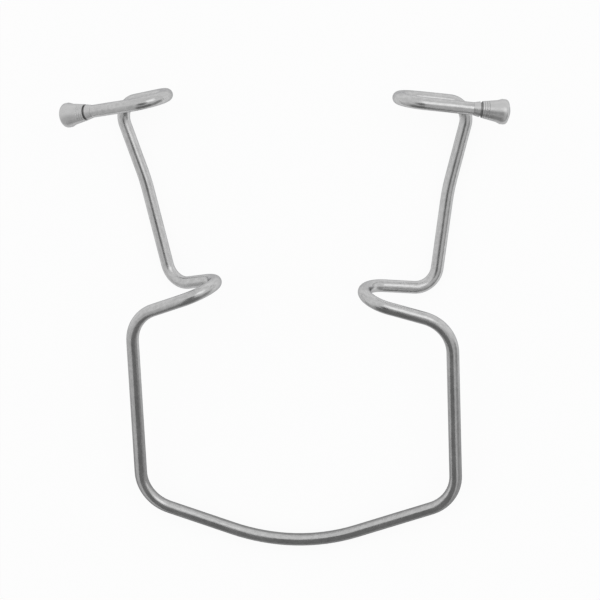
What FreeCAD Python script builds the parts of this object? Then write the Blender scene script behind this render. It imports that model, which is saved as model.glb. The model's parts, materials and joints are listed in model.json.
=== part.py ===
# Self retaining mouth retractor, bent from one stainless spring wire, with a turned
# knob on each free end. Millimetres.
#
# It lies as on an instrument tray: +X to the right, +Y from the bow up to the knobs,
# +Z away from the tray, origin on the tray under the middle of its box.
#
# On each side the wire runs from the bow (the spring, which passes under the chin) round
# a corner, up a side bar outside the face, round the shoulder into the lower lip hook (a
# hairpin), down to the foot, up the leg inside the cheek, round the head into the upper
# lip hook (a second hairpin) and out along the knob limb.
#
# The wire is one piece. It is cut here on the straight runs of the bow, because the
# middle of the bow is where it flexes when the knobs are squeezed.

import FreeCAD, Part
import math
import operator
import os
import Sketcher
from FreeCAD import Placement, Rotation, Vector

doc = FreeCAD.newDocument("mouth_retractor")
sheet = doc.addObject("Spreadsheet::Sheet", "Sizes")


# Driving dimensions: (alias, value, meaning)

SHARED_SIZES = [
    ("wire_dia", 3.8, "spring wire"),
    ("bow_bend", 58.0, "wide bend in the middle of the bow"),
    ("bow_stub", 3.0, "straight end of the flexing middle, beyond its wide bend"),
    ("corner_bend", 12.0, "bend from the bow into the side bar"),
    ("shoulder_bend", 12.0, "bend from the side bar into the lower hook"),
    ("foot_bend", 6.5, "bend from the lower hook into the leg"),
    ("head_bend", 6.0, "bend from the leg into the upper hook"),
    ("leg_bend", 60.0, "soft bend part way up the leg"),
    ("frame_tilt", 12.25, "degrees that the lower frame leans back to the tray"),
    ("lower_hook_gap", 14.0, "between the limbs of the lower hook, centre to centre"),
    ("lower_hook_lift", 8.0, "rise of the lower hook's back limb, from foot to tip"),
    ("upper_hook_gap", 14.0, "between the limbs of the upper hook, centre to centre"),
    ("upper_hook_lift", 8.0, "rise of the upper hook's back limb, from head to tip"),
    ("knob_set_back", 7.25, "fall of the knob limb towards the tray, from tip to knob"),
    ("wire_chamfer", 0.1, "on the wire's end, where it meets the knob"),
    ("spigot_dia", 2.6, "turned down end of the wire, inside the knob"),
    ("spigot_depth", 6.0, "depth of the spigot in the knob"),
    ("mouth_dia", 3.8, "knob, where the wire goes in"),
    ("lip_dia", 4.6, "wide end of the knob's flared lip"),
    ("lip_length", 2.4, "from the knob's mouth to the turned groove"),
    ("groove_dia", 3.9, "floor of the dark groove behind the lip"),
    ("groove_width", 0.5, "width of that groove"),
    ("neck_dia", 4.9, "narrow end of the cone, next to the groove"),
    ("cone_dia", 6.4, "wide end of the cone, where the rim starts to flare"),
    ("cone_length", 4.0, "from the groove to the flare"),
    ("flare_length", 1.3, "from the cone out to the rim's land"),
    ("rim_dia", 7.4, "land of the rim, the knob's widest part"),
    ("land_length", 0.9, "straight part of the rim"),
    ("dome_corner", 1.2, "rounding from the land into the dome"),
    ("dome_height", 0.6, "dome on the knob's end"),
    ("ring_start", 0.6, "from the groove to the first fine ring"),
    ("ring_pitch", 0.65, "from ring to ring"),
    ("ring_width", 0.2, "V section of a ring, across its mouth"),
    ("ring_depth", 0.1, "V section of a ring, down to its floor"),
]

# The two sides were bent by hand and differ a little, so each has its own sizes.
LEFT_SIZES = [
    ("left_bow_half_width", 47.0, "lowest point of the bow out to the corner"),
    ("left_bow_rise", 16.0, "bow's lowest apex up to the corner"),
    ("left_side_height", 58.75, "corner up to the shoulder"),
    ("left_side_lean", -1.25, "outward lean of the side bar over that height"),
    ("left_lower_hook_reach", 25.5, "shoulder inward to the lower hook's tip"),
    ("left_lower_hook_rise", 9.25, "shoulder up to the tip of the front limb"),
    ("left_lower_hook_offset", 1.5, "front limb's tip up to the back limb's tip"),
    ("left_foot_out", 16.0, "lower hook's tip outward to the foot"),
    ("left_foot_drop", 3.25, "back limb's tip down to the foot"),
    ("left_leg_height", 55.25, "foot up to the head"),
    ("left_leg_lean", 15.5, "outward lean of the leg over that height"),
    ("left_leg_bend_rise", 32.0, "foot up to the leg's soft bend"),
    ("left_leg_bulge", 1.5, "inward bulge of the leg at its soft bend"),
    ("left_upper_hook_reach", 18.0, "head inward to the upper hook's tip"),
    ("left_upper_hook_rise", 4.25, "head up to the tip of the back limb"),
    ("left_upper_hook_offset", -0.75, "back limb's tip up to the front limb's tip"),
    ("left_knob_limb_reach", 22.0, "upper hook's tip outward to the wire's end"),
    ("left_knob_limb_drop", 4.0, "front limb's tip down to the wire's end"),
]

RIGHT_SIZES = [
    ("right_bow_half_width", 50.5, "lowest point of the bow out to the corner"),
    ("right_bow_rise", 17.5, "bow's lowest apex up to the corner"),
    ("right_side_height", 56.0, "corner up to the shoulder"),
    ("right_side_lean", 1.25, "outward lean of the side bar over that height"),
    ("right_lower_hook_reach", 26.5, "shoulder inward to the lower hook's tip"),
    ("right_lower_hook_rise", 8.5, "shoulder up to the tip of the front limb"),
    ("right_lower_hook_offset", 2.25, "front limb's tip up to the back limb's tip"),
    ("right_foot_out", 19.0, "lower hook's tip outward to the foot"),
    ("right_foot_drop", 2.25, "back limb's tip down to the foot"),
    ("right_leg_height", 56.0, "foot up to the head"),
    ("right_leg_lean", 11.75, "outward lean of the leg over that height"),
    ("right_leg_bend_rise", 30.0, "foot up to the leg's soft bend"),
    ("right_leg_bulge", 1.75, "inward bulge of the leg at its soft bend"),
    ("right_upper_hook_reach", 19.5, "head inward to the upper hook's tip"),
    ("right_upper_hook_rise", 3.0, "head up to the tip of the back limb"),
    ("right_upper_hook_offset", 0.25, "back limb's tip up to the front limb's tip"),
    ("right_knob_limb_reach", 22.25, "upper hook's tip outward to the wire's end"),
    ("right_knob_limb_drop", 3.25, "front limb's tip down to the wire's end"),
]

SIDES = {"left": -1, "right": 1}
RING_COUNT = 3


def fill_sheet():
    for index, (alias, value, meaning) in enumerate(SHARED_SIZES + LEFT_SIZES + RIGHT_SIZES):
        row = index + 1
        sheet.set("A%d" % row, meaning)
        sheet.set("B%d" % row, str(value))
        sheet.setAlias("B%d" % row, alias)
    doc.recompute()


def size(alias):
    return float(sheet.get(alias))


# Centre line of the wire

HAIRPIN = None


def half_turn(before, apex, after):
    """Tangent of half the angle that the route turns by at an apex."""
    return math.tan((apex - before).getAngle(after - apex) / 2)


def bow_setback():
    """From the bow's apex to where its wide bend ends, along the straight run."""
    left = Vector(-size("left_bow_half_width"), size("left_bow_rise"), 0)
    right = Vector(size("right_bow_half_width"), size("right_bow_rise"), 0)
    return size("bow_bend") * half_turn(left, Vector(0, 0, 0), right)


def frame_height(along):
    """Height of the leaning lower frame, which lies on the tray at the bow's middle."""
    bow_middle = math.hypot(size("bow_bend"), bow_setback()) - size("bow_bend")
    return (along - bow_middle) * math.tan(math.radians(size("frame_tilt")))


def side_route(side):
    """Apexes of the bends on one side, from the corner to the wire's end, and their radii.

    Places are measured from the bow's apex. A hairpin has two apexes, one above the
    other, and gets its radius afterwards.
    """

    def own(alias):
        return size(side + "_" + alias)

    places = []
    radii = []

    def bend(across, along, height, radius):
        places.append(Vector(SIDES[side] * across, along, height))
        radii.append(radius)

    across = own("bow_half_width")
    along = own("bow_rise")
    bend(across, along, frame_height(along), size("corner_bend"))

    across += own("side_lean")
    along += own("side_height")
    bend(across, along, frame_height(along), size("shoulder_bend"))

    back = size("lower_hook_lift")
    across -= own("lower_hook_reach")
    along += own("lower_hook_rise")
    bend(across, along, back + size("lower_hook_gap"), HAIRPIN)
    along += own("lower_hook_offset")
    bend(across, along, back, HAIRPIN)

    across += own("foot_out")
    along -= own("foot_drop")
    bend(across, along, 0.0, size("foot_bend"))

    bend_rise = own("leg_bend_rise")
    bend_out = own("leg_lean") * bend_rise / own("leg_height") - own("leg_bulge")
    bend(across + bend_out, along + bend_rise, 0.0, size("leg_bend"))

    across += own("leg_lean")
    along += own("leg_height")
    bend(across, along, 0.0, size("head_bend"))

    back = size("upper_hook_lift")
    front = back + size("upper_hook_gap")
    across -= own("upper_hook_reach")
    along += own("upper_hook_rise")
    bend(across, along, back, HAIRPIN)
    along += own("upper_hook_offset")
    bend(across, along, front, HAIRPIN)

    across += own("knob_limb_reach")
    along -= own("knob_limb_drop")
    places.append(Vector(SIDES[side] * across, along, front - size("knob_set_back")))
    return places, radii


def round_hairpins(route, radii):
    """Give both apexes of a hairpin the radius that joins their arcs into one bend."""
    rounded = list(radii)
    for index in range(len(rounded) - 1):
        if rounded[index] is HAIRPIN:
            before, first, second, after = route[index:index + 4]
            spread = half_turn(before, first, second) + half_turn(first, second, after)
            rounded[index] = (second - first).Length / spread
            rounded[index + 1] = rounded[index]
    return rounded


def bent_edges(route, radii):
    """Straight runs joined by tangent arcs, with one radius for each apex inside the route."""
    shortest_run = 1e-4
    edges = []
    reached = route[0]
    for index, radius in enumerate(radii):
        before, apex, after = route[index:index + 3]
        arriving = (apex - before).normalize()
        leaving = (after - apex).normalize()
        setback = radius * half_turn(before, apex, after)
        arc_start = apex - arriving * setback
        arc_end = apex + leaving * setback
        inward = (leaving - arriving).normalize()
        arc_middle = apex + inward * (math.hypot(radius, setback) - radius)
        if (arc_start - reached).Length > shortest_run:
            edges.append(Part.LineSegment(reached, arc_start).toShape())
            reached = arc_start
        edges.append(Part.Arc(reached, arc_middle, arc_end).toShape())
        reached = arc_end
    edges.append(Part.LineSegment(reached, route[-1]).toShape())
    return edges


def cone_start():
    """From the knob's mouth to the narrow end of its cone."""
    return size("lip_length") + size("groove_width")


def land_start():
    """From the knob's mouth to the straight land of its rim."""
    return cone_start() + size("cone_length") + size("flare_length")


def knob_axis(places):
    return (places[-1] - places[-2]).normalize()


def knob_box(places):
    """Box of a knob's rim and dome, from the wire's end and the direction of its limb."""
    axis = knob_axis(places)
    rim_radius = size("rim_dia") / 2
    reach = Vector(*[rim_radius * math.sqrt(1 - part * part) for part in axis])
    land_end = land_start() + size("land_length")
    box = FreeCAD.BoundBox()
    for distance in (land_start(), land_end):
        centre = places[-1] + axis * distance
        box.add(centre + reach)
        box.add(centre - reach)
    box.add(places[-1] + axis * (land_end + size("dome_corner") + size("dome_height")))
    return box


def lay_out():
    """The bow's apex and both sides' routes, moved to the origin under the box's middle."""
    apex = Vector(0, 0, frame_height(0))
    routes = {}
    for side in SIDES:
        places, radii = side_route(side)
        routes[side] = (places, round_hairpins([apex] + places, radii))
    left_places, left_radii = routes["left"]
    right_places, right_radii = routes["right"]
    whole_route = left_places[::-1] + [apex] + right_places
    whole_radii = left_radii[::-1] + [size("bow_bend")] + right_radii
    box = Part.Wire(bent_edges(whole_route, whole_radii)).optimalBoundingBox()
    box.enlarge(size("wire_dia") / 2)
    for places, _ in routes.values():
        box.add(knob_box(places))
    shift = Vector(-box.Center.x, -box.Center.y, -box.ZMin)
    for side, (places, radii) in routes.items():
        routes[side] = ([place + shift for place in places], radii)
    return apex + shift, routes


def cut_point(apex, corner):
    """Where the wire is cut, on the bow's straight run."""
    return apex + (corner - apex).normalize() * (bow_setback() + size("bow_stub"))


# Spring wire

def swept_wire(name, edges):
    """Round wire along a path: the path, a round section on its start, and the sweep."""
    path = doc.addObject("Part::Feature", name + "_path")
    path.Shape = Part.Wire(edges)
    section = doc.addObject("Part::Circle", name + "_section")
    section.setExpression("Radius", "Sizes.wire_dia / 2")
    start = edges[0].valueAt(edges[0].FirstParameter)
    direction = edges[0].tangentAt(edges[0].FirstParameter)
    section.Placement = Placement(start, Rotation(Vector(0, 0, 1), direction))
    wire = doc.addObject("Part::Sweep", name)
    wire.Sections = [section]
    wire.Spine = (path, ["Edge%d" % (index + 1) for index in range(len(edges))])
    wire.Solid = True
    doc.recompute()
    expected = math.pi * size("wire_dia") ** 2 / 4 * path.Shape.Length
    ratio = wire.Shape.Volume / expected
    print("%s: %.1f mm of wire, volume / (section x length) %.5f" % (name, path.Shape.Length, ratio))
    return wire


def make_bow(apex, routes):
    left = cut_point(apex, routes["left"][0][0])
    right = cut_point(apex, routes["right"][0][0])
    return swept_wire("spring_bow", bent_edges([left, apex, right], [size("bow_bend")]))


def make_arm_wire(side, apex, places, radii):
    """One side of the wire, with its chamfered end and the spigot for the knob."""
    start = cut_point(apex, places[0])
    axis = knob_axis(places)
    facing = Rotation(Vector(0, 0, 1), axis)
    chamfer_start = places[-1] - axis * size("wire_chamfer")
    route = [start] + places[:-1] + [chamfer_start]
    wire = swept_wire(side + "_arm_run", bent_edges(route, radii))

    chamfer = doc.addObject("Part::Cone", side + "_arm_chamfer")
    chamfer.setExpression("Radius1", "Sizes.wire_dia / 2")
    chamfer.setExpression("Radius2", "Sizes.wire_dia / 2 - Sizes.wire_chamfer")
    chamfer.setExpression("Height", "Sizes.wire_chamfer")
    chamfer.Placement = Placement(chamfer_start, facing)

    spigot = doc.addObject("Part::Cylinder", side + "_arm_spigot")
    spigot.setExpression("Radius", "Sizes.spigot_dia / 2")
    spigot.setExpression("Height", "Sizes.spigot_depth")
    spigot.Placement = Placement(places[-1], facing)

    arm_wire = doc.addObject("Part::MultiFuse", side + "_arm_wire")
    arm_wire.Shapes = [wire, chamfer, spigot]
    arm_wire.Refine = True
    doc.recompute()
    return arm_wire


# Turned knobs

def sketch_on_turning_plane(body, name):
    """A sketch whose upright axis is the knob's own axis."""
    sketch = body.newObject("Sketcher::SketchObject", name)
    plane = [item for item in body.Origin.OriginFeatures if item.Role == "XZ_Plane"][0]
    sketch.AttachmentSupport = [(plane, "")]
    sketch.MapMode = "FlatFace"
    return sketch


class Formula:
    """A number together with the sheet expression that it comes from."""

    def __init__(self, value, text):
        self.value = value
        self.text = text

    def joined(self, sign, other, work_out):
        if not isinstance(other, Formula):
            other = Formula(other, str(other))
        text = "(%s %s %s)" % (self.text, sign, other.text)
        return Formula(work_out(self.value, other.value), text)

    def __add__(self, other):
        return self.joined("+", other, operator.add)

    def __sub__(self, other):
        return self.joined("-", other, operator.sub)

    def __mul__(self, other):
        return self.joined("*", other, operator.mul)

    def __truediv__(self, other):
        return self.joined("/", other, operator.truediv)


def cell(alias):
    return Formula(size(alias), "Sizes." + alias)


def bind(sketch, name, constraint, formula):
    """Add a constraint and tie its value to a formula of the sheet's sizes."""
    row = sketch.addConstraint(constraint)
    sketch.renameConstraint(row, name)
    sketch.setExpression("Constraints." + name, formula.text)


def arc_between(start, end, radius):
    """Arc that turns anticlockwise from start to end."""
    chord = end - start
    left_normal = Vector(-chord.y, chord.x, 0).normalize()
    centre = (start + end) / 2 + left_normal * math.sqrt(radius ** 2 - chord.Length ** 2 / 4)
    start_angle = math.atan2(start.y - centre.y, start.x - centre.x)
    end_angle = math.atan2(end.y - centre.y, end.x - centre.x)
    circle = Part.Circle(centre, Vector(0, 0, 1), radius)
    return Part.ArcOfCircle(circle, start_angle, end_angle)


def draw_profile(sketch, corners):
    """Closed outline, anticlockwise, each corner held by the formulas of its place.

    corners: (radius, height, arc radius of the side that starts there). A radius or height
    of ZERO lies on the axis or on the mouth's plane, and a side with no arc is straight.
    """
    count = len(corners)
    for index, (across, along, arc_radius) in enumerate(corners):
        next_across, next_along, _ = corners[(index + 1) % count]
        start = Vector(across.value, along.value, 0)
        end = Vector(next_across.value, next_along.value, 0)
        if arc_radius:
            sketch.addGeometry(arc_between(start, end, arc_radius.value))
        else:
            sketch.addGeometry(Part.LineSegment(start, end))
    for index, (across, along, arc_radius) in enumerate(corners):
        sketch.addConstraint(Sketcher.Constraint("Coincident", (index - 1) % count, 2, index, 1))
        if across is ZERO:
            sketch.addConstraint(Sketcher.Constraint("PointOnObject", index, 1, -2))
        else:
            held = Sketcher.Constraint("DistanceX", -1, 1, index, 1, across.value)
            bind(sketch, "radius_%d" % index, held, across)
        if along is ZERO:
            sketch.addConstraint(Sketcher.Constraint("PointOnObject", index, 1, -1))
        else:
            held = Sketcher.Constraint("DistanceY", -1, 1, index, 1, along.value)
            bind(sketch, "height_%d" % index, held, along)
        if arc_radius:
            held = Sketcher.Constraint("Radius", index, arc_radius.value)
            bind(sketch, "arc_%d" % index, held, arc_radius)


ZERO = Formula(0.0, "0")


def knob_outline():
    """Corners of the half section, from the bore's mouth round to the bore's floor."""
    bore = cell("spigot_dia") / 2
    groove = cell("groove_dia") / 2
    neck = cell("neck_dia") / 2
    rim = cell("rim_dia") / 2
    lip_end = cell("lip_length")
    cone_bottom = lip_end + cell("groove_width")
    cone_top = cone_bottom + cell("cone_length")
    land_bottom = cone_top + cell("flare_length")
    land_top = land_bottom + cell("land_length")
    rim_top = land_top + cell("dome_corner")
    slope = (cell("cone_dia") / 2 - neck) / cell("cone_length")
    dome_edge = rim - cell("dome_corner")
    dome = cell("dome_height")
    dome_radius = (dome_edge * dome_edge + dome * dome) / (dome * 2)

    corners = [
        (bore, ZERO, None),
        (cell("mouth_dia") / 2, ZERO, None),
        (cell("lip_dia") / 2, lip_end, None),
        (groove, lip_end, None),
        (groove, cone_bottom, None),
        (neck, cone_bottom, None),
    ]
    half_ring = cell("ring_width") / 2
    for number in range(RING_COUNT):
        middle = cell("ring_start") + cell("ring_pitch") * number
        before = middle - half_ring
        after = middle + half_ring
        corners += [
            (neck + slope * before, cone_bottom + before, None),
            (neck + slope * middle - cell("ring_depth"), cone_bottom + middle, None),
            (neck + slope * after, cone_bottom + after, None),
        ]
    corners += [
        (cell("cone_dia") / 2, cone_top, None),
        (rim, land_bottom, None),
        (rim, land_top, cell("dome_corner")),
        (dome_edge, rim_top, dome_radius),
        (ZERO, rim_top + dome, None),
        (ZERO, cell("spigot_depth"), None),
        (bore, cell("spigot_depth"), None),
    ]
    return corners


def make_knob(side, places):
    """Knob turned in its own frame, the wire coming in at the origin along +Z."""
    body = doc.addObject("PartDesign::Body", side + "_knob")
    outline = sketch_on_turning_plane(body, side + "_knob_outline")
    draw_profile(outline, knob_outline())
    turned = body.newObject("PartDesign::Revolution", side + "_knob_turned")
    turned.Profile = outline
    turned.ReferenceAxis = (outline, ["V_Axis"])
    turned.Angle = 360
    body.Placement = Placement(places[-1], Rotation(Vector(0, 0, 1), knob_axis(places)))
    doc.recompute()
    return body


# Checks and export

def check_document(nodes):
    for item in doc.Objects:
        if "Invalid" in item.State or "Error" in item.State:
            raise RuntimeError("failed: " + item.Name)
    for node in nodes:
        shape = node.Shape
        if shape.isNull() or not shape.isValid() or len(shape.Solids) != 1:
            raise RuntimeError("not one sound solid: " + node.Label)


def export_nodes(nodes):
    os.makedirs("parts", exist_ok=True)
    for node in nodes:
        node.Shape.exportStep(os.path.join("parts", node.Label + ".step"))
        box = node.Shape.optimalBoundingBox()
        print("%s: %.1f mm3, x %.2f to %.2f, y %.2f to %.2f, z %.2f to %.2f"
              % (node.Label, node.Shape.Volume, box.XMin, box.XMax, box.YMin, box.YMax,
                 box.ZMin, box.ZMax))


def main():
    fill_sheet()
    bow_apex, routes = lay_out()
    nodes = [make_bow(bow_apex, routes)]
    for side, (places, radii) in routes.items():
        nodes.append(make_arm_wire(side, bow_apex, places, radii))
        nodes.append(make_knob(side, places))
    for node in nodes:
        node.Label = node.Name
    doc.recompute()
    check_document(nodes)
    export_nodes(nodes)


main()
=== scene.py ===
# %% [markdown]
# # A spring wire mouth retractor
#
# The object is a cheek and lip retractor: one polished stainless wire, bent by hand into a
# chin bow, two side bars and four lip hooks, with a small turned knob on each free end.
# This lesson builds its surfaces around a measured frame, which gives the places of the
# two knobs and of the two hinges that stand in for the bow's spring.

# %% Load the measured frame

import json
import math

import bmesh
import bpy
from mathutils import Matrix, Vector


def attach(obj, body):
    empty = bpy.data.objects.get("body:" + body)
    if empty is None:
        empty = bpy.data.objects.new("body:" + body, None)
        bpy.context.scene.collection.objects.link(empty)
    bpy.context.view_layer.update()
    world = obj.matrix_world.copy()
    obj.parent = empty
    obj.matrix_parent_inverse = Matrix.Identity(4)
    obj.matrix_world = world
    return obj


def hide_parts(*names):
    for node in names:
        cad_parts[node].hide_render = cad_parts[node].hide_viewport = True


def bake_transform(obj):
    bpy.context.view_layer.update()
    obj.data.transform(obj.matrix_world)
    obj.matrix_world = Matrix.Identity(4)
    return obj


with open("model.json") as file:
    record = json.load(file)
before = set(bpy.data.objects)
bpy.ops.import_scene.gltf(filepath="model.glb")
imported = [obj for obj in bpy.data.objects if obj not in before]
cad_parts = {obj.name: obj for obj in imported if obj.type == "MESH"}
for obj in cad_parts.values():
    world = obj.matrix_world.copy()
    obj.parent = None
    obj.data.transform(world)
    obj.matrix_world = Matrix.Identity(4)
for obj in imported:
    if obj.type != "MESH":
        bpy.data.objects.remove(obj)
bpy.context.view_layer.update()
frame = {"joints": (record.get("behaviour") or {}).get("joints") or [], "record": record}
MM = 0.001


# %% [markdown]
# ## The camera
#
# The photograph looks down on the retractor from about a metre, a little from the right
# and a little from the knobs' end. A long lens keeps the wire's thickness almost the same
# near and far, so the camera stands far back with a narrow view instead of close and wide.

# %% Stand the camera over the tray

VIEW_TARGET = Vector((3.15, 6.9, 9.9)) * MM
VIEW_DISTANCE = 1.0
VIEW_WIDTH = 0.180
YAW = math.radians(11.0)
PITCH = math.radians(10.0)
ROLL = math.radians(-1.2)


def stand_camera():
    back = Vector((math.sin(YAW) * math.cos(PITCH), math.sin(PITCH), math.cos(YAW) * math.cos(PITCH)))
    right = Vector((0, 1, 0)).cross(back).normalized()
    turned_right = Matrix.Rotation(ROLL, 3, back) @ right
    up = back.cross(turned_right)
    data = bpy.data.cameras.new("camera")
    data.lens = data.sensor_width * VIEW_DISTANCE / VIEW_WIDTH
    camera = bpy.data.objects.new("camera", data)
    bpy.context.scene.collection.objects.link(camera)
    axes = Matrix((turned_right, up, back)).transposed().to_4x4()
    camera.matrix_world = Matrix.Translation(VIEW_TARGET + back * VIEW_DISTANCE) @ axes
    bpy.context.scene.camera = camera
    return back


camera_side = stand_camera()


# %% [markdown]
# ## The light tent
#
# Polished steel has almost no colour of its own: it shows what stands around it. In the
# photograph the upright wires carry a dark line down their middle, and the level wires are
# light above and dark below. Both are pictures of the room: a dark slot just below the
# camera, and a dimmer side beyond the bow, with a still dimmer corner on its right that the
# side bars mirror. So the world here is a white tent with those three in it. Their
# directions are fixed in the room, so they stay where they are when another view moves the
# camera.

# %% Helpers for shader nodes

def add_node(tree, kind, inputs=None, **settings):
    """Add a node, set its properties, and set or link its inputs by name or number."""
    node = tree.nodes.new(kind)
    for name, value in settings.items():
        setattr(node, name, value)
    for name, value in (inputs or {}).items():
        if isinstance(value, bpy.types.NodeSocket):
            tree.links.new(value, node.inputs[name])
        else:
            node.inputs[name].default_value = value
    return node


def maths(tree, operation, first, second=0.0):
    return add_node(tree, "ShaderNodeMath", {0: first, 1: second}, operation=operation).outputs[0]


def smooth_rise(tree, value, low, high):
    """From 0 below low to 1 above high, with soft ends. It falls instead if low is above high."""
    inputs = {"Value": value, "From Min": low, "From Max": high}
    node = add_node(tree, "ShaderNodeMapRange", inputs, interpolation_type="SMOOTHSTEP")
    return node.outputs["Result"]


# %% Helpers for objects and materials

def object_from(bm, name):
    """Turn a bmesh into an object that stands at the origin."""
    mesh = bpy.data.meshes.new(name)
    bm.to_mesh(mesh)
    bm.free()
    made = bpy.data.objects.new(name, mesh)
    bpy.context.scene.collection.objects.link(made)
    return made


def empty_material(name):
    """A new material and its node tree, without nodes."""
    material = bpy.data.materials.new(name)
    material.use_nodes = True
    material.node_tree.nodes.clear()
    return material, material.node_tree


# %% Build the tent

TENT_LIGHT = 0.88
SLOT_CENTRE = -0.14
SLOT_ACROSS = (0.48, 0.15)
SLOT_BELOW = (0.08, -0.22)
SLOT_FACING = (0.55, 0.9)
SLOT_DEPTH = 0.85
DIM_SIDE = (0.0, -0.6)
DIM_SIDE_DEPTH = 0.28
DIM_CORNER = (0.8, -0.6, 0.0)
DIM_CORNER_NEAR = (0.8, 0.92)
DIM_CORNER_DEPTH = 0.6


def world_tent():
    world = bpy.data.worlds.new("light_tent")
    bpy.context.scene.world = world
    world.use_nodes = True
    tree = world.node_tree
    tree.nodes.clear()
    direction = add_node(tree, "ShaderNodeTexCoord").outputs["Generated"]

    def component(axis):
        inputs = {0: direction, 1: tuple(axis)}
        return add_node(tree, "ShaderNodeVectorMath", inputs, operation="DOT_PRODUCT").outputs["Value"]

    side_axis = Vector((0, 1, 0)).cross(camera_side).normalized()
    across = maths(tree, "ABSOLUTE", maths(tree, "SUBTRACT", component(side_axis), SLOT_CENTRE))
    upward = component(camera_side.cross(side_axis))
    facing = component(camera_side)
    narrow = smooth_rise(tree, across, *SLOT_ACROSS)
    below = smooth_rise(tree, upward, *SLOT_BELOW)
    in_front = smooth_rise(tree, facing, *SLOT_FACING)
    slot = maths(tree, "MULTIPLY", maths(tree, "MULTIPLY", narrow, below), in_front)
    slot = maths(tree, "MULTIPLY", slot, SLOT_DEPTH)
    dim_side = maths(tree, "MULTIPLY", smooth_rise(tree, upward, *DIM_SIDE), DIM_SIDE_DEPTH)
    corner = smooth_rise(tree, component(DIM_CORNER), *DIM_CORNER_NEAR)
    corner = maths(tree, "MULTIPLY", corner, DIM_CORNER_DEPTH)
    dark = maths(tree, "MAXIMUM", maths(tree, "MAXIMUM", slot, dim_side), corner)
    lit = maths(tree, "MULTIPLY", maths(tree, "SUBTRACT", 1.0, dark), TENT_LIGHT)

    seen = add_node(tree, "ShaderNodeLightPath").outputs["Is Camera Ray"]
    strength = maths(tree, "MAXIMUM", lit, seen)
    background = add_node(tree, "ShaderNodeBackground", {"Color": (1, 1, 1, 1), "Strength": strength})
    add_node(tree, "ShaderNodeOutputWorld", {"Surface": background.outputs["Background"]})


world_tent()
bpy.context.scene.view_settings.view_transform = "Standard"

# %% [markdown]
# One broad lamp over the right knob's side gives the hooks a soft highlight. The floor is
# white card. It shows itself mostly by its own light, to the camera and to what mirrors it,
# and only a share of it takes shadows, so that the shadow stays as faint as on a light
# table. Steel that mirrors the floor under the bow sees it shaded.

# %% Lamp and floor

LAMP_PLACE = Vector((0.45, 0.4, 0.7))
LAMP_SIZE = 0.6
LAMP_POWER = 0.5
FLOOR_HALF = 1.6
FLOOR_SHARE = 0.08
FLOOR_GAP = 0.05 * MM
SHADE_ALONG = (0.01, -0.07)
SHADE_DEPTH = 0.6


def hang_lamp():
    data = bpy.data.lights.new("key_lamp", "AREA")
    data.shape = "DISK"
    data.size = LAMP_SIZE
    data.energy = LAMP_POWER
    lamp = bpy.data.objects.new("key_lamp", data)
    bpy.context.scene.collection.objects.link(lamp)
    lamp.location = LAMP_PLACE
    lamp.rotation_euler = (-LAMP_PLACE).to_track_quat("-Z", "Y").to_euler()


def white_card():
    material, tree = empty_material("white_card")
    path = add_node(tree, "ShaderNodeLightPath")
    place = add_node(tree, "ShaderNodeTexCoord").outputs["Object"]
    along = add_node(tree, "ShaderNodeSeparateXYZ", {"Vector": place}).outputs["Y"]
    shade = maths(tree, "MULTIPLY", smooth_rise(tree, along, *SHADE_ALONG), SHADE_DEPTH)
    unshaded = maths(tree, "SUBTRACT", 1.0, shade)
    mirrored = maths(tree, "MULTIPLY", path.outputs["Is Glossy Ray"], unshaded)
    shown = maths(tree, "MAXIMUM", path.outputs["Is Camera Ray"], mirrored)
    own_light = maths(tree, "MULTIPLY", shown, 1.0 - FLOOR_SHARE)
    glow = add_node(tree, "ShaderNodeEmission", {"Color": (1, 1, 1, 1), "Strength": own_light})
    share = (FLOOR_SHARE, FLOOR_SHARE, FLOOR_SHARE, 1)
    card = add_node(tree, "ShaderNodeBsdfDiffuse", {"Color": share})
    both = add_node(tree, "ShaderNodeAddShader", {0: glow.outputs[0], 1: card.outputs[0]})
    add_node(tree, "ShaderNodeOutputMaterial", {"Surface": both.outputs[0]})
    return material


def lay_floor():
    bm = bmesh.new()
    bmesh.ops.create_grid(bm, x_segments=1, y_segments=1, size=FLOOR_HALF)
    bmesh.ops.translate(bm, verts=bm.verts, vec=(0, 0, -FLOOR_GAP))
    floor = object_from(bm, "floor")
    floor.data.materials.append(white_card())


hang_lamp()
lay_floor()


# %% [markdown]
# The bow and the side bars are darker underneath than the hooks and the knobs are, because
# something dark stood close to the bow's end. A grey card that leans over there does the
# same. The camera doesn't see it and it casts no shadow: only the steel mirrors it.

# %% Lean a grey card over the bow's end

CARD_FOOT = Vector((0, -0.16, 0))
CARD_TOP = Vector((0, -0.05, 0.15))
CARD_HALF_WIDTH = 0.08
CARD_TONE = 0.2


def lean_grey_card():
    rise = (CARD_TOP - CARD_FOOT) / 2
    bm = bmesh.new()
    bmesh.ops.create_grid(bm, x_segments=1, y_segments=1, size=1)
    bmesh.ops.scale(bm, verts=bm.verts, vec=(CARD_HALF_WIDTH, rise.length, 1))
    lean = Matrix.Rotation(math.atan2(rise.z, rise.y), 4, "X")
    bmesh.ops.transform(bm, matrix=Matrix.Translation(CARD_FOOT + rise) @ lean, verts=bm.verts)
    card = object_from(bm, "grey_card")
    card.visible_camera = False
    card.visible_diffuse = False
    card.visible_shadow = False
    material, tree = empty_material("grey_card")
    tone = add_node(tree, "ShaderNodeEmission", {"Color": (1, 1, 1, 1), "Strength": CARD_TONE})
    add_node(tree, "ShaderNodeOutputMaterial", {"Surface": tone.outputs[0]})
    card.data.materials.append(material)


lean_grey_card()


# %% [markdown]
# ## The wire's route
#
# A bent wire is described as its bender would: the corners that its straight runs would
# meet at, and the radius of each bend. The sizes below are in millimetres, measured from
# the bow's lowest corner. The two sides were bent by hand and differ a little.

# %% Sizes of the wire

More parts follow.
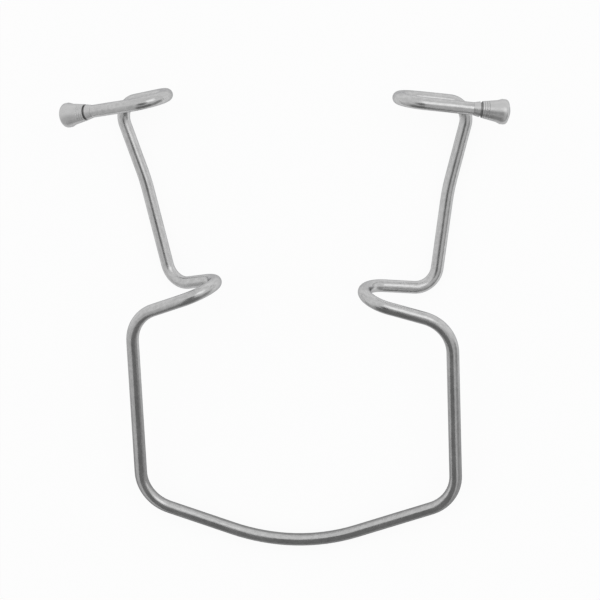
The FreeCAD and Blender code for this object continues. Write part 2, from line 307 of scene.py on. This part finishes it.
WIRE_DIA = 3.8
BOW_BEND = 58.0
BOW_STUB = 3.0
CORNER_BEND = 12.0
SHOULDER_BEND = 12.0
FOOT_BEND = 6.5
HEAD_BEND = 6.0
LEG_BEND = 60.0
FRAME_TILT = math.radians(12.25)
LOWER_HOOK_GAP = 14.0
LOWER_HOOK_LIFT = 8.0
UPPER_HOOK_GAP = 14.0
UPPER_HOOK_LIFT = 8.0
KNOB_SET_BACK = 7.25
WIRE_CHAMFER = 0.05
SPIGOT_DIA = 2.6
SPIGOT_DEPTH = 6.0

LEFT = {
    "bow_half_width": 47.0,
    "bow_rise": 16.0,
    "side_height": 58.75,
    "side_lean": -1.25,
    "lower_hook_reach": 25.5,
    "lower_hook_rise": 9.25,
    "lower_hook_offset": 1.5,
    "foot_out": 16.0,
    "foot_drop": 3.25,
    "leg_height": 55.25,
    "leg_lean": 15.5,
    "leg_bend_rise": 32.0,
    "leg_bulge": 1.5,
    "upper_hook_reach": 18.0,
    "upper_hook_rise": 4.25,
    "upper_hook_offset": -0.75,
    "knob_limb_reach": 22.0,
    "knob_limb_drop": 4.0,
}
RIGHT = {
    "bow_half_width": 50.5,
    "bow_rise": 17.5,
    "side_height": 56.0,
    "side_lean": 1.25,
    "lower_hook_reach": 26.5,
    "lower_hook_rise": 8.5,
    "lower_hook_offset": 2.25,
    "foot_out": 19.0,
    "foot_drop": 2.25,
    "leg_height": 56.0,
    "leg_lean": 11.75,
    "leg_bend_rise": 30.0,
    "leg_bulge": 1.75,
    "upper_hook_reach": 19.5,
    "upper_hook_rise": 3.0,
    "upper_hook_offset": 0.25,
    "knob_limb_reach": 22.25,
    "knob_limb_drop": 3.25,
}
SIDES = {"left": (LEFT, -1), "right": (RIGHT, 1)}


# %% Corners of the route

HAIRPIN = None


def half_turn(before, corner, after):
    """Tangent of half the angle that the route turns by at a corner."""
    return math.tan((corner - before).angle(after - corner) / 2)


LEFT_CORNER = Vector((-LEFT["bow_half_width"], LEFT["bow_rise"], 0))
RIGHT_CORNER = Vector((RIGHT["bow_half_width"], RIGHT["bow_rise"], 0))
BOW_SETBACK = BOW_BEND * half_turn(LEFT_CORNER, Vector(), RIGHT_CORNER)
BOW_MIDDLE = math.hypot(BOW_BEND, BOW_SETBACK) - BOW_BEND


def frame_height(along):
    """The lower frame leans, and lies on the tray at the bow's middle."""
    return (along - BOW_MIDDLE) * math.tan(FRAME_TILT)


def side_route(own, sign):
    """Corners and bend radii on one side, from the bow's lowest corner to the wire's end."""
    places = [Vector((0, 0, frame_height(0)))]
    radii = [BOW_BEND]

    def bend(across, along, height, radius):
        places.append(Vector((sign * across, along, height)))
        radii.append(radius)

    across, along = own["bow_half_width"], own["bow_rise"]
    bend(across, along, frame_height(along), CORNER_BEND)
    across, along = across + own["side_lean"], along + own["side_height"]
    bend(across, along, frame_height(along), SHOULDER_BEND)

    across, along = across - own["lower_hook_reach"], along + own["lower_hook_rise"]
    bend(across, along, LOWER_HOOK_LIFT + LOWER_HOOK_GAP, HAIRPIN)
    along += own["lower_hook_offset"]
    bend(across, along, LOWER_HOOK_LIFT, HAIRPIN)
    across, along = across + own["foot_out"], along - own["foot_drop"]
    bend(across, along, 0, FOOT_BEND)

    bend_rise = own["leg_bend_rise"]
    bend_out = own["leg_lean"] * bend_rise / own["leg_height"] - own["leg_bulge"]
    bend(across + bend_out, along + bend_rise, 0, LEG_BEND)
    across, along = across + own["leg_lean"], along + own["leg_height"]
    bend(across, along, 0, HEAD_BEND)

    across, along = across - own["upper_hook_reach"], along + own["upper_hook_rise"]
    bend(across, along, UPPER_HOOK_LIFT, HAIRPIN)
    along += own["upper_hook_offset"]
    bend(across, along, UPPER_HOOK_LIFT + UPPER_HOOK_GAP, HAIRPIN)
    across, along = across + own["knob_limb_reach"], along - own["knob_limb_drop"]
    bend(across, along, UPPER_HOOK_LIFT + UPPER_HOOK_GAP - KNOB_SET_BACK, 0)
    return places, round_hairpins(places, radii)


def round_hairpins(places, radii):
    """Both corners of a hairpin get the radius that joins their bends into one."""
    rounded = list(radii)
    for index in range(len(rounded) - 1):
        if rounded[index] is HAIRPIN:
            before, first, second, after = places[index - 1:index + 3]
            spread = half_turn(before, first, second) + half_turn(first, second, after)
            rounded[index] = (second - first).length / spread
            rounded[index + 1] = rounded[index]
    return rounded


# %% [markdown]
# The route has to land on the frame. The frame's hinges sit where the measured wire is
# cut, a short way beyond the bow's wide bend, so the same point of the route is found and
# the whole route is moved by the difference.

# %% Place the route on the frame

def hinge_place(side):
    joint = [item for item in frame["joints"] if item["name"] == side + "_arm_flex"][0]
    return Vector(joint["pos_m"]) / MM


def route_on_frame(side):
    own, sign = SIDES[side]
    places, radii = side_route(own, sign)
    outward = (places[1] - places[0]).normalized()
    cut = places[0] + outward * (BOW_SETBACK + BOW_STUB)
    shift = hinge_place(side) - cut
    print("%s route moved by %.3f, %.3f, %.3f mm" % (side, *shift))
    return [(place + shift) * MM for place in places], [radius * MM for radius in radii]


ROUTES = {side: route_on_frame(side) for side in SIDES}


# %% [markdown]
# ## Bending the wire
#
# The real wire starts straight and is bent run by run. The mesh is made the same way: a
# ring of points is pushed along each straight run and turned about the centre of each
# bend, and every push leaves a band of faces behind. A curve with a round bevel would be
# quicker, but this way each point can remember where it was on the straight wire, which
# the drawing lines of the metal need later.

# %% Moves of the bender

RING_POINTS = 40
LONGEST_STEP = 2.5 * MM
LARGEST_TURN = math.radians(5)
SHORTEST_RUN = 0.001 * MM


def straight_move(start, end):
    """A push from start to end: (steps, matrix of one step, length of one step)."""
    run = end - start
    steps = max(1, math.ceil(run.length / LONGEST_STEP))
    return steps, Matrix.Translation(run / steps), run.length / steps


def bending_move(centre, axis, angle, radius):
    steps = max(2, math.ceil(max(angle / LARGEST_TURN, angle * radius / LONGEST_STEP)))
    turn = Matrix.Rotation(angle / steps, 4, axis)
    matrix = Matrix.Translation(centre) @ turn @ Matrix.Translation(-centre)
    return steps, matrix, angle * radius / steps


def turning_at(before, corner, after, radius):
    """Where a bend starts and ends, its directions, its centre and its axis."""
    arriving = (corner - before).normalized()
    leaving = (after - corner).normalized()
    setback = radius * half_turn(before, corner, after)
    inward = (leaving - arriving).normalized()
    centre = corner + inward * math.hypot(radius, setback)
    axis = arriving.cross(leaving).normalized()
    return corner - arriving * setback, corner + leaving * setback, arriving, leaving, centre, axis


def bow_half(places, radii, other_corner):
    """The bow's middle, the heading there, the move to the end of its bend, and that end."""
    apex, corner, radius = places[0], places[1], radii[0]
    _, reached, arriving, leaving, centre, axis = turning_at(other_corner, apex, corner, radius)
    middle = centre + (apex - centre).normalized() * radius
    heading = (arriving + leaving).normalized()
    return middle, heading, bending_move(centre, axis, heading.angle(leaving), radius), reached


def arm_moves(places, radii, reached):
    """The moves from the end of the bow's bend to the chamfer at the wire's end."""
    moves = []
    for before, corner, after, radius in zip(places, places[1:], places[2:], radii[1:]):
        bend_from, bend_to, arriving, leaving, centre, axis = turning_at(before, corner, after, radius)
        if (bend_from - reached).length > SHORTEST_RUN:
            moves.append(straight_move(reached, bend_from))
        moves.append(bending_move(centre, axis, arriving.angle(leaving), radius))
        reached = bend_to
    limb = (places[-1] - places[-2]).normalized()
    moves.append(straight_move(reached, places[-1] - limb * WIRE_CHAMFER * MM))
    return moves, limb


# %% Push a ring of points along the moves

def push_ring(bm, ring, matrix, drawn, step):
    """Grow one band of faces from a ring of edges. Returns the new ring."""
    grown = bmesh.ops.extrude_edge_only(bm, edges=ring)["geom"]
    points = {item for item in grown if isinstance(item, bmesh.types.BMVert)}
    bmesh.ops.transform(bm, matrix=matrix, verts=list(points))
    for point in points:
        point[drawn] = point[drawn] + Vector((0, 0, step))
    edges = [item for item in grown if isinstance(item, bmesh.types.BMEdge)]
    return [edge for edge in edges if set(edge.verts) <= points]


def close_end(bm, ring):
    """Close a ring with one flat face, with a crisp edge round it."""
    face = bmesh.ops.contextual_create(bm, geom=ring)["faces"][0]
    face.smooth = False
    for edge in ring:
        edge.smooth = False


def turned_end(bm, ring, end, limb, drawn):
    """The chamfer, the shoulder and the thin spigot that the knob sits on."""
    def about_end(matrix):
        return Matrix.Translation(end) @ matrix @ Matrix.Translation(-end)

    radius = WIRE_DIA / 2
    shoulder = radius - WIRE_CHAMFER
    forward = Matrix.Translation(limb * WIRE_CHAMFER * MM)
    rings = [ring]
    rings.append(push_ring(bm, ring, about_end(Matrix.Scale(shoulder / radius, 4)) @ forward, drawn, 0))
    thinner = about_end(Matrix.Scale(SPIGOT_DIA / 2 / shoulder, 4))
    rings.append(push_ring(bm, rings[-1], thinner, drawn, 0))
    deeper = Matrix.Translation(limb * SPIGOT_DEPTH * MM)
    rings.append(push_ring(bm, rings[-1], deeper, drawn, SPIGOT_DEPTH * MM))
    for turned in rings:
        for edge in turned:
            edge.smooth = False
    close_end(bm, rings[-1])


def bent_wire(side, other_side):
    places, radii = ROUTES[side]
    sign = SIDES[side][1]
    middle, heading, first_move, reached = bow_half(places, radii, ROUTES[other_side][0][1])
    moves, limb = arm_moves(places, radii, reached)
    bm = bmesh.new()
    drawn = bm.verts.layers.float_vector.new("drawn")
    circle = bmesh.ops.create_circle(bm, segments=RING_POINTS, radius=WIRE_DIA / 2 * MM)["verts"]
    for point in circle:
        point[drawn] = point.co
    ring = first_ring = list(bm.edges)
    facing = (sign * heading).to_track_quat("Z", "Y").to_matrix().to_4x4()
    bmesh.ops.transform(bm, matrix=Matrix.Translation(middle) @ facing, verts=circle)
    for steps, matrix, step in [first_move] + moves:
        for _ in range(steps):
            ring = push_ring(bm, ring, matrix, drawn, sign * step)
    for face in bm.faces:
        face.smooth = True
    turned_end(bm, ring, places[-1], limb, drawn)
    close_end(bm, first_ring)
    bmesh.ops.recalc_face_normals(bm, faces=bm.faces)
    length = sum(steps * step for steps, _, step in [first_move] + moves) / MM
    return object_from(bm, side + "_bent_wire"), length


# %% [markdown]
# ## Polished drawn steel
#
# The wire was drawn through a die, which leaves very fine lines along it, and then
# polished, which softens them and leaves faint clouds. Both are read from the straight
# wire's coordinates that every point carries, so the lines follow each bend.

# %% Helpers for metal

EDGE_TINT = (0.6, 0.6, 0.61, 1)
NOISE_RANGE = (0.3, 0.7)


def new_metal(name):
    material = bpy.data.materials.new(name)
    material.use_nodes = True
    shader = material.node_tree.nodes["Principled BSDF"]
    shader.inputs["Metallic"].default_value = 1.0
    shader.inputs["Specular Tint"].default_value = EDGE_TINT
    return material, material.node_tree, shader


def noise(tree, place, scale, detail=2.0):
    """Noise over coordinates in metres. scale is in patches per millimetre along each axis."""
    stretch = tuple(value / MM for value in scale)
    moved = add_node(tree, "ShaderNodeVectorMath", {0: place, 1: stretch}, operation="MULTIPLY")
    inputs = {"Vector": moved.outputs[0], "Scale": 1.0, "Detail": detail}
    return add_node(tree, "ShaderNodeTexNoise", inputs).outputs["Fac"]


def spread(tree, value, low, high):
    """Noise seldom leaves its middle range, so that range is stretched from low to high."""
    inputs = {"Value": value, "From Min": NOISE_RANGE[0], "From Max": NOISE_RANGE[1]}
    inputs.update({"To Min": low, "To Max": high})
    return add_node(tree, "ShaderNodeMapRange", inputs).outputs["Result"]


def sum_of(tree, first, second):
    return maths(tree, "ADD", first, second)


def bump(tree, height, strength, depth, **under):
    """The normal of a surface with bumps. depth is in millimetres."""
    inputs = {"Height": height, "Strength": strength, "Distance": depth * MM, **under}
    return add_node(tree, "ShaderNodeBump", inputs).outputs["Normal"]


def finish_metal(tree, shader, tone, rough, normal):
    colour = add_node(tree, "ShaderNodeCombineColor", {"Red": tone, "Green": tone, "Blue": tone})
    tree.links.new(colour.outputs["Color"], shader.inputs["Base Color"])
    tree.links.new(rough, shader.inputs["Roughness"])
    tree.links.new(normal, shader.inputs["Normal"])


# %% Finish of the wire

LINE_SCALE = (9.0, 9.0, 0.05)
LINE_DETAIL = 3.0
LINE_ROUGHNESS = (-0.03, 0.03)
LINE_BUMP = (0.25, 0.004)
CLOUD_SCALE = (0.35, 0.35, 0.12)
CLOUD_ROUGHNESS = (0.2, 0.3)
CLOUD_TONE = (0.52, 0.58)
GRAIN_SCALE = (1.4, 1.4, 0.9)
GRAIN_TONE = (-0.05, 0.05)
GRAIN_BUMP = (0.5, 0.04)


def polished_wire():
    material, tree, shader = new_metal("polished_wire")
    drawn = add_node(tree, "ShaderNodeAttribute", attribute_name="drawn").outputs["Vector"]
    lines = noise(tree, drawn, LINE_SCALE, LINE_DETAIL)
    clouds = noise(tree, drawn, CLOUD_SCALE)
    grain = noise(tree, drawn, GRAIN_SCALE)
    rough = sum_of(tree, spread(tree, clouds, *CLOUD_ROUGHNESS), spread(tree, lines, *LINE_ROUGHNESS))
    tone = sum_of(tree, spread(tree, clouds, *CLOUD_TONE), spread(tree, grain, *GRAIN_TONE))
    fine = bump(tree, lines, *LINE_BUMP)
    finish_metal(tree, shader, tone, rough, bump(tree, grain, *GRAIN_BUMP, Normal=fine))
    return material


# %% Bend both halves of the wire

wire_finish = polished_wire()


def hang_half(side, other_side):
    """One half of the wire, from the bow's middle round its own arm to the wire's end."""
    wire, length = bent_wire(side, other_side)
    wire.data.materials.append(wire_finish)
    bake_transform(wire)
    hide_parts(side + "_arm_wire", "spring_bow")
    print("%s: %.1f mm of wire, %d faces" % (wire.name, length, len(wire.data.polygons)))


hang_half("left", "right")
hang_half("right", "left")


# %% [markdown]
# ## The knobs
#
# Each knob is turned on a lathe: a flared lip round the wire's end, a narrow groove that
# looks like a black ring, a cone with three fine rings, and a flared rim with a low dome.
# A lathe part is one outline spun about its axis. The outline has only its corners, and
# the rim's outer corner is rounded afterwards with a bevel. The frame holds the same knob
# with a deeper groove, 0.5 mm further from the mouth: here it sits where the photograph
# shows it.

# %% Sizes of the knob

MOUTH_DIA = 3.8
LIP_DIA = 4.6
LIP_LENGTH = 1.8
GROOVE_DIA = 4.1
GROOVE_WIDTH = 0.7
NECK_DIA = 4.9
CONE_DIA = 6.4
CONE_LENGTH = 4.4
FLARE_LENGTH = 1.3
RIM_DIA = 7.4
LAND_LENGTH = 0.9
DOME_CORNER = 1.2
DOME_HEIGHT = 0.6
DOME_POINTS = 8
RING_COUNT = 3
RING_START = 0.6
RING_PITCH = 0.65
RING_WIDTH = 0.2
RING_DEPTH = 0.1
CONE_START = LIP_LENGTH + GROOVE_WIDTH
FLARE_START = CONE_START + CONE_LENGTH
LAND_START = FLARE_START + FLARE_LENGTH
LAND_MIDDLE = LAND_START + LAND_LENGTH / 2
RIM_END = LAND_START + LAND_LENGTH + DOME_CORNER


# %% Outline of the knob

def cone_radius(along):
    """Radius of the cone at a distance from its narrow end."""
    return NECK_DIA / 2 + (CONE_DIA - NECK_DIA) / 2 * along / CONE_LENGTH


def dome_outline():
    """Points of the domed end, from its edge to the axis, as (radius, height)."""
    edge = RIM_DIA / 2 - DOME_CORNER
    radius = (edge ** 2 + DOME_HEIGHT ** 2) / (2 * DOME_HEIGHT)
    half_angle = math.asin(edge / radius)
    points = []
    for number in range(DOME_POINTS + 1):
        angle = half_angle * (1 - number / DOME_POINTS)
        height = RIM_END + DOME_HEIGHT - radius * (1 - math.cos(angle))
        points.append((radius * math.sin(angle), height))
    return points


def knob_outline():
    """The half section from the bore's floor round the mouth to the dome, in millimetres."""
    bore = SPIGOT_DIA / 2
    outline = [
        (0, SPIGOT_DEPTH),
        (bore, SPIGOT_DEPTH),
        (bore, 0),
        (MOUTH_DIA / 2, 0),
        (LIP_DIA / 2, LIP_LENGTH),
        (GROOVE_DIA / 2, LIP_LENGTH),
        (GROOVE_DIA / 2, CONE_START),
        (NECK_DIA / 2, CONE_START),
    ]
    for number in range(RING_COUNT):
        middle = RING_START + number * RING_PITCH
        before, after = middle - RING_WIDTH / 2, middle + RING_WIDTH / 2
        outline.append((cone_radius(before), CONE_START + before))
        outline.append((cone_radius(middle) - RING_DEPTH, CONE_START + middle))
        outline.append((cone_radius(after), CONE_START + after))
    outline.append((CONE_DIA / 2, FLARE_START))
    outline.append((RIM_DIA / 2, LAND_START))
    outline.append((RIM_DIA / 2, RIM_END))
    return outline + dome_outline()


# %% Turn one knob

TURNING_STEPS = 64
SHARP_ANGLE = math.radians(30)
MERGE_DISTANCE = 0.002 * MM
CORNER_STEPS = 6


def rim_edges(bm, height):
    """The edges round the rim at one height."""
    def on_rim(point):
        at_height = abs(point.co.z - height) < MERGE_DISTANCE
        return at_height and point.co.xy.length > RIM_DIA / 2 * MM - MERGE_DISTANCE

    return [edge for edge in bm.edges if all(on_rim(point) for point in edge.verts)]


def round_corner(bm, edges, radius):
    bmesh.ops.bevel(
        bm, geom=edges, offset=radius * MM, segments=CORNER_STEPS, profile=0.5,
        affect="EDGES", material=-1, clamp_overlap=True,
    )
    bmesh.ops.remove_doubles(bm, verts=bm.verts, dist=MERGE_DISTANCE)


def turned_body():
    bm = bmesh.new()
    points = [bm.verts.new((across * MM, 0, along * MM)) for across, along in knob_outline()]
    edges = [bm.edges.new(pair) for pair in zip(points, points[1:])]
    bmesh.ops.spin(
        bm, geom=points + edges, cent=(0, 0, 0), axis=(0, 0, 1), angle=math.tau,
        steps=TURNING_STEPS, use_merge=True,
    )
    bmesh.ops.remove_doubles(bm, verts=bm.verts, dist=MERGE_DISTANCE)
    round_corner(bm, rim_edges(bm, RIM_END * MM), DOME_CORNER)
    bmesh.ops.recalc_face_normals(bm, faces=bm.faces)
    for face in bm.faces:
        face.smooth = True
    for edge in bm.edges:
        edge.smooth = edge.calc_face_angle(0) < SHARP_ANGLE
    turned = bm.verts.layers.float_vector.new("turned")
    for point in bm.verts:
        point[turned] = point.co
    return bm


# %% [markdown]
# A turned face is never quite smooth: the tool leaves fine rings all round it. The
# coordinates that the knob had on the lathe are kept on every point, so that its finish
# can draw those rings about the knob's own axis, whichever way the knob lies. The
# groove's floor and walls are painted dark in the colour: painted shade in the recess.

# %% Finish of the knobs

GROOVE_SHADE_DEPTH = 0.6
GROOVE_SHADE_EDGE = 0.03
TURNING_SCALE = (7.0, 7.0, 1.0)
TURNING_ROUGHNESS = (-0.04, 0.04)
TURNING_BUMP = (0.4, 0.01)
BUFFED_SCALE = (0.3, 0.3, 0.3)
BUFFED_ROUGHNESS = (0.34, 0.42)
BUFFED_TONE = (0.56, 0.63)


def painted_groove_shade(tree, along):
    """Where the groove's painted shade falls: 1 on its walls and floor, 0 elsewhere."""
    middle = (LIP_LENGTH + GROOVE_WIDTH / 2) * MM
    half = GROOVE_WIDTH / 2 * MM
    edge = GROOVE_SHADE_EDGE * MM
    off_middle = maths(tree, "ABSOLUTE", maths(tree, "SUBTRACT", along, middle))
    return smooth_rise(tree, off_middle, half + edge, half - edge)


def ring_place(tree, split):
    """One place for a whole ring about the lathe's axis, so that noise on it draws rings."""
    squares = sum_of(tree, maths(tree, "POWER", split["X"], 2.0), maths(tree, "POWER", split["Y"], 2.0))
    out = maths(tree, "SQRT", squares)
    slant = sum_of(tree, split["Z"], out)
    return add_node(tree, "ShaderNodeCombineXYZ", {"X": slant, "Y": out}).outputs["Vector"]


def turned_steel():
    material, tree, shader = new_metal("turned_steel")
    turned = add_node(tree, "ShaderNodeAttribute", attribute_name="turned").outputs["Vector"]
    split = add_node(tree, "ShaderNodeSeparateXYZ", {"Vector": turned}).outputs
    rings = noise(tree, ring_place(tree, split), TURNING_SCALE)
    clouds = noise(tree, turned, BUFFED_SCALE)
    turning = spread(tree, rings, *TURNING_ROUGHNESS)
    rough = sum_of(tree, spread(tree, clouds, *BUFFED_ROUGHNESS), turning)
    # Painted shade: the groove's floor and walls are darkened in the base colour.
    groove_shade = maths(tree, "MULTIPLY", painted_groove_shade(tree, split["Z"]), GROOVE_SHADE_DEPTH)
    outside_groove_shade = maths(tree, "SUBTRACT", 1.0, groove_shade)
    tone = maths(tree, "MULTIPLY", spread(tree, clouds, *BUFFED_TONE), outside_groove_shade)
    finish_metal(tree, shader, tone, rough, bump(tree, rings, *TURNING_BUMP))
    return material


# %% Fit both knobs

knob_finish = turned_steel()


def fit_knob(side):
    """The frame's mount gives the middle of the rim and the knob's axis."""
    mount = [item for item in frame["record"]["mounts"] if item["name"] == side + "_knob_rim"][0]
    axis = Vector(mount["axis"]).normalized()
    mouth = Vector(mount["pos_m"]) - axis * LAND_MIDDLE * MM
    bm = turned_body()
    facing = axis.to_track_quat("Z", "Y").to_matrix().to_4x4()
    bmesh.ops.transform(bm, matrix=Matrix.Translation(mouth) @ facing, verts=bm.verts)
    knob = object_from(bm, side + "_turned_knob")
    knob.data.materials.append(knob_finish)
    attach(knob, side + "_arm")
    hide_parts(side + "_knob")
    away = (mouth - ROUTES[side][0][-1]).length / MM
    faces = len(knob.data.polygons)
    print("%s: %d faces, %.3f mm off the wire's end" % (knob.name, faces, away))


for side in SIDES:
    fit_knob(side)
